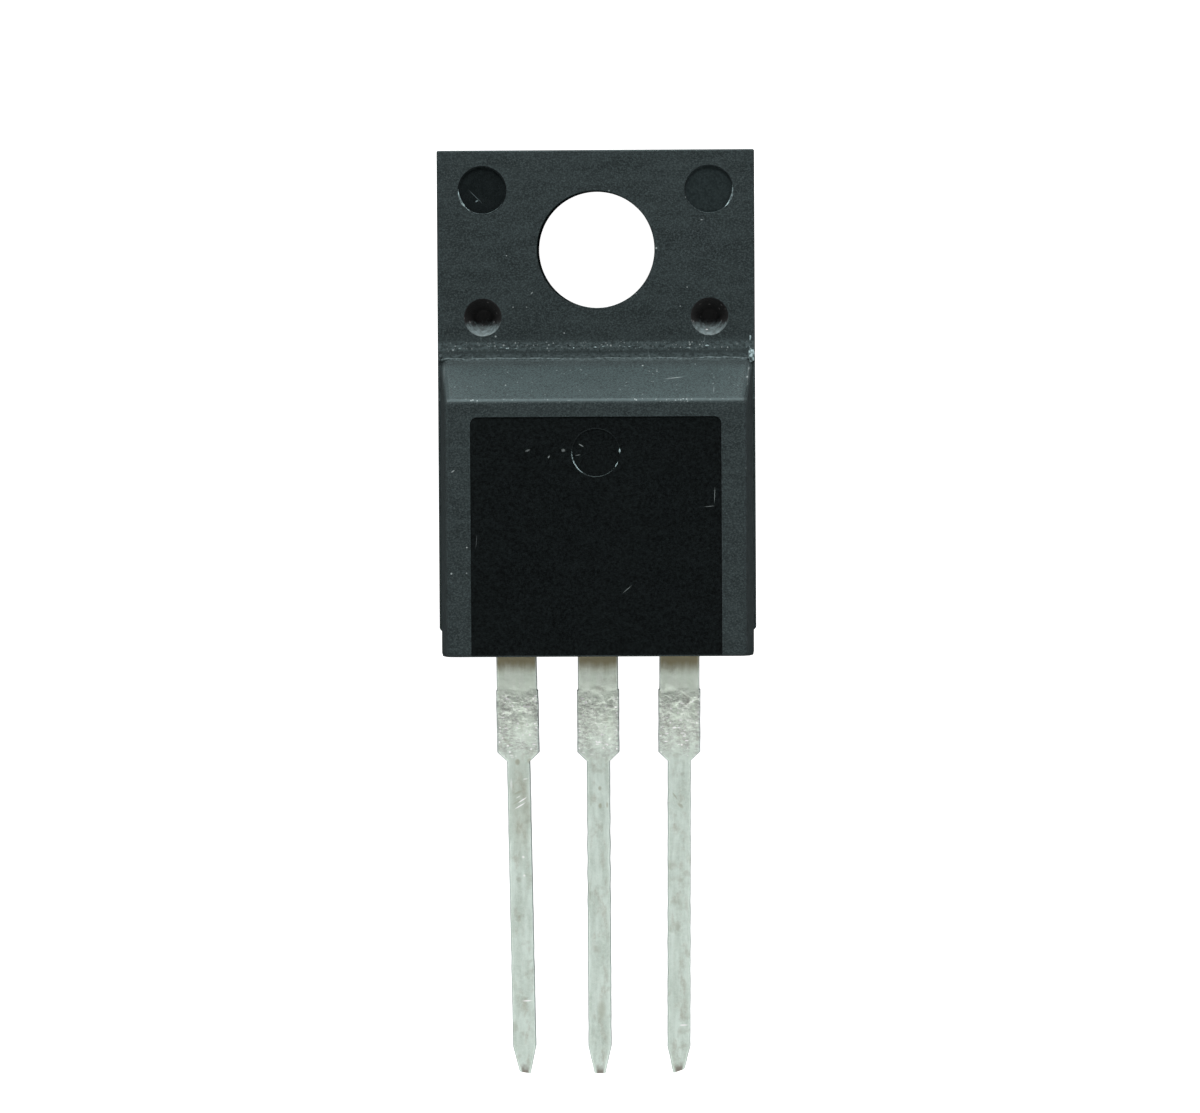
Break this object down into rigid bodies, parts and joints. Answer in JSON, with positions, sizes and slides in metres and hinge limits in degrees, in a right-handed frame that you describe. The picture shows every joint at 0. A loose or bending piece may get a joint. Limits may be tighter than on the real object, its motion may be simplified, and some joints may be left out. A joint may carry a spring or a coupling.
{
  "type": "power transistor",
  "caption": "Power transistor in a fully moulded black package: drilled mounting tab, ramp, raised block with a polished pad, and a row of flat tinned leads with pointed tips.",
  "frame": {"origin": "on the axis of the screw hole, at the back face", "axes": "+Z out of the front, +Y towards the tab end with the leads along -Y, +X to the right seen from the front with the tab end up"},
  "size_m": [0.0098, 0.0288, 0.0047],
  "materials": {
    "moulding_epoxy": "matte",
    "tinned_copper": "satin",
    "solder": "satin",
    "silicon": "satin",
    "bond_aluminium": "satin"
  },
  "bodies": {
    "root": {"moulded_body": "moulding_epoxy", "gate_lead": "tinned_copper", "drain_frame": "tinned_copper", "source_lead": "tinned_copper", "die_attach_solder": "solder", "mosfet_die": "silicon", "gate_bond_wire": "bond_aluminium", "source_bond_wire_1": "bond_aluminium", "source_bond_wire_2": "bond_aluminium"}
  },
  "joints": []
}
